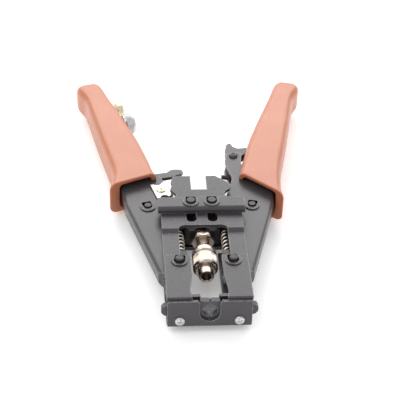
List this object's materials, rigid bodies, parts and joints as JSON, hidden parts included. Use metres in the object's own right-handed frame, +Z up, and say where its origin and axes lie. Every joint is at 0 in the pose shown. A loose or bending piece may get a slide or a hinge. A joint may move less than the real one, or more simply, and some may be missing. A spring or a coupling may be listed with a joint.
{
  "type": "coaxial crimping tool",
  "caption": "Hand crimping tool for coaxial compression connectors: split cable clamp at the nose, sprung crosshead with a screw-adjusted plunger, gripped handles.",
  "frame": {"origin": "middle of the tool's box, on the surface it lies on", "axes": "+Z up; -Y along the working axis from the handles to the nose; +X to the right seen from the nose-down view"},
  "size_m": [0.145, 0.2188, 0.0278],
  "materials": {
    "frame_paint": "satin grey-black paint",
    "handle_paint": "satin grey-black paint",
    "jaw_paint": "satin",
    "black_steel": "blackened steel",
    "spring_steel": "drawn wire",
    "zinc": "bright zinc",
    "nickel": "warm nickel plate",
    "blade_steel": "ground steel",
    "brass": "plated brass",
    "grip_pvc": "moulded PVC"
  },
  "bodies": {
    "frame": {"nose_frame": "frame_paint", "front_plate": "frame_paint", "frame_plate_top": "frame_paint", "frame_plate_bottom": "frame_paint", "front_screws": "zinc", "spring_seats": "black_steel", "spring_guides": "black_steel", "pivot_clips": "black_steel", "pivot_pin_left": "black_steel", "pivot_pin_right": "black_steel", "return_spring_left": "spring_steel", "return_spring_right": "spring_steel", "jaw_spring_left": "spring_steel", "jaw_spring_right": "spring_steel"},
    "jaw_left": {"jaw_left": "jaw_paint"},
    "jaw_right": {"jaw_right": "jaw_paint"},
    "crosshead": {"crosshead_block": "black_steel", "bridge_top": "frame_paint", "bridge_bottom": "frame_paint", "crosshead_pins": "black_steel", "crosshead_clips": "black_steel", "plunger_rod": "nickel"},
    "lock_nut": {"lock_nut": "nickel"},
    "adapter": {"adapter_core": "nickel"},
    "sleeve": {"knurled_sleeve": "nickel"},
    "link_left": {"link_left": "black_steel"},
    "link_right": {"link_right": "black_steel"},
    "handle_left": {"handle_channel_left": "handle_paint", "grip_left": "grip_pvc", "link_pin_left": "black_steel", "link_clip_left": "black_steel", "cutter_blade": "blade_steel", "blade_screw": "brass", "catch_rivet": "black_steel", "spare_studs": "zinc", "spare_adapter_wide": "nickel", "spare_adapter_slim": "brass"},
    "handle_right": {"handle_channel_right": "handle_paint", "grip_right": "grip_pvc", "link_pin_right": "black_steel", "link_clip_right": "black_steel", "latch_screw": "black_steel", "latch_nut": "black_steel", "catch_stud": "black_steel"},
    "catch_lever": {"catch_lever": "handle_paint"},
    "latch_lever": {"latch_lever": "handle_paint"}
  },
  "joints": [
    {"name": "handle_left_hinge", "type": "hinge", "parent": "frame", "child": "handle_left", "pos_m": [-0.0143, -0.0765, 0.013], "axis": [0, 0, -1], "range_deg": [0, 8]},
    {"name": "handle_right_hinge", "type": "hinge", "parent": "frame", "child": "handle_right", "pos_m": [0.0143, -0.0765, 0.013], "axis": [0, 0, 1], "range_deg": [0, 8]},
    {"name": "crosshead_slide", "type": "slide", "parent": "frame", "child": "crosshead", "axis": [0, -1, 0], "range_m": [0, 0.01021], "stiffness_N_per_m": 1500, "springref_m": -0.004, "deforming": ["return_spring_left", "return_spring_right"]},
    {"name": "link_left_hinge", "type": "hinge", "parent": "crosshead", "child": "link_left", "pos_m": [-0.00585, -0.02985, 0.013], "axis": [0, 0, -1], "range_deg": [0, 33.1]},
    {"name": "link_right_hinge", "type": "hinge", "parent": "crosshead", "child": "link_right", "pos_m": [0.00585, -0.02985, 0.013], "axis": [0, 0, 1], "range_deg": [0, 33.1]},
    {"name": "jaw_left_hinge", "type": "hinge", "parent": "frame", "child": "jaw_left", "pos_m": [-0.0154, -0.1046, 0.0079], "axis": [0, -1, 0], "range_deg": [0, 15], "stiffness_Nm_per_rad": 0.05, "springref_deg": -11.46, "deforming": ["jaw_spring_left"]},
    {"name": "jaw_right_hinge", "type": "hinge", "parent": "frame", "child": "jaw_right", "pos_m": [0.0154, -0.1046, 0.0079], "axis": [0, 1, 0], "range_deg": [0, 15], "stiffness_Nm_per_rad": 0.05, "springref_deg": -11.46, "deforming": ["jaw_spring_right"]},
    {"name": "lock_nut_turn", "type": "hinge", "parent": "crosshead", "child": "lock_nut", "pos_m": [0, -0.0482, 0.013], "axis": [0, 1, 0], "range_deg": [0, 180]},
    {"name": "adapter_slide", "type": "slide", "parent": "crosshead", "child": "adapter", "axis": [0, -1, 0], "range_m": [0, 0.003]},
    {"name": "sleeve_turn", "type": "hinge", "parent": "adapter", "child": "sleeve", "pos_m": [0, -0.0688, 0.013], "axis": [0, -1, 0], "range_deg": [0, 1080]},
    {"name": "catch_lever_hinge", "type": "hinge", "parent": "handle_left", "child": "catch_lever", "pos_m": [-0.03187, 0.00781, 0.0144], "axis": [0, 0, 1], "range_deg": [0, 22]},
    {"name": "latch_lever_hinge", "type": "hinge", "parent": "handle_right", "child": "latch_lever", "pos_m": [0.02305, 0.02686, 0.013], "axis": [0, 0, 1], "range_deg": [0, 25]}
  ],
  "couplings": [
    {"joint": "handle_right_hinge", "follows": "handle_left_hinge", "ratio": 1},
    {"joint": "crosshead_slide", "follows": "handle_left_hinge", "m_per_rad": 0.073053},
    {"joint": "link_left_hinge", "follows": "handle_left_hinge", "ratio": 4.1279},
    {"joint": "link_right_hinge", "follows": "handle_left_hinge", "ratio": 4.1279},
    {"joint": "adapter_slide", "follows": "sleeve_turn", "m_per_rad": 0.00015915}
  ]
}
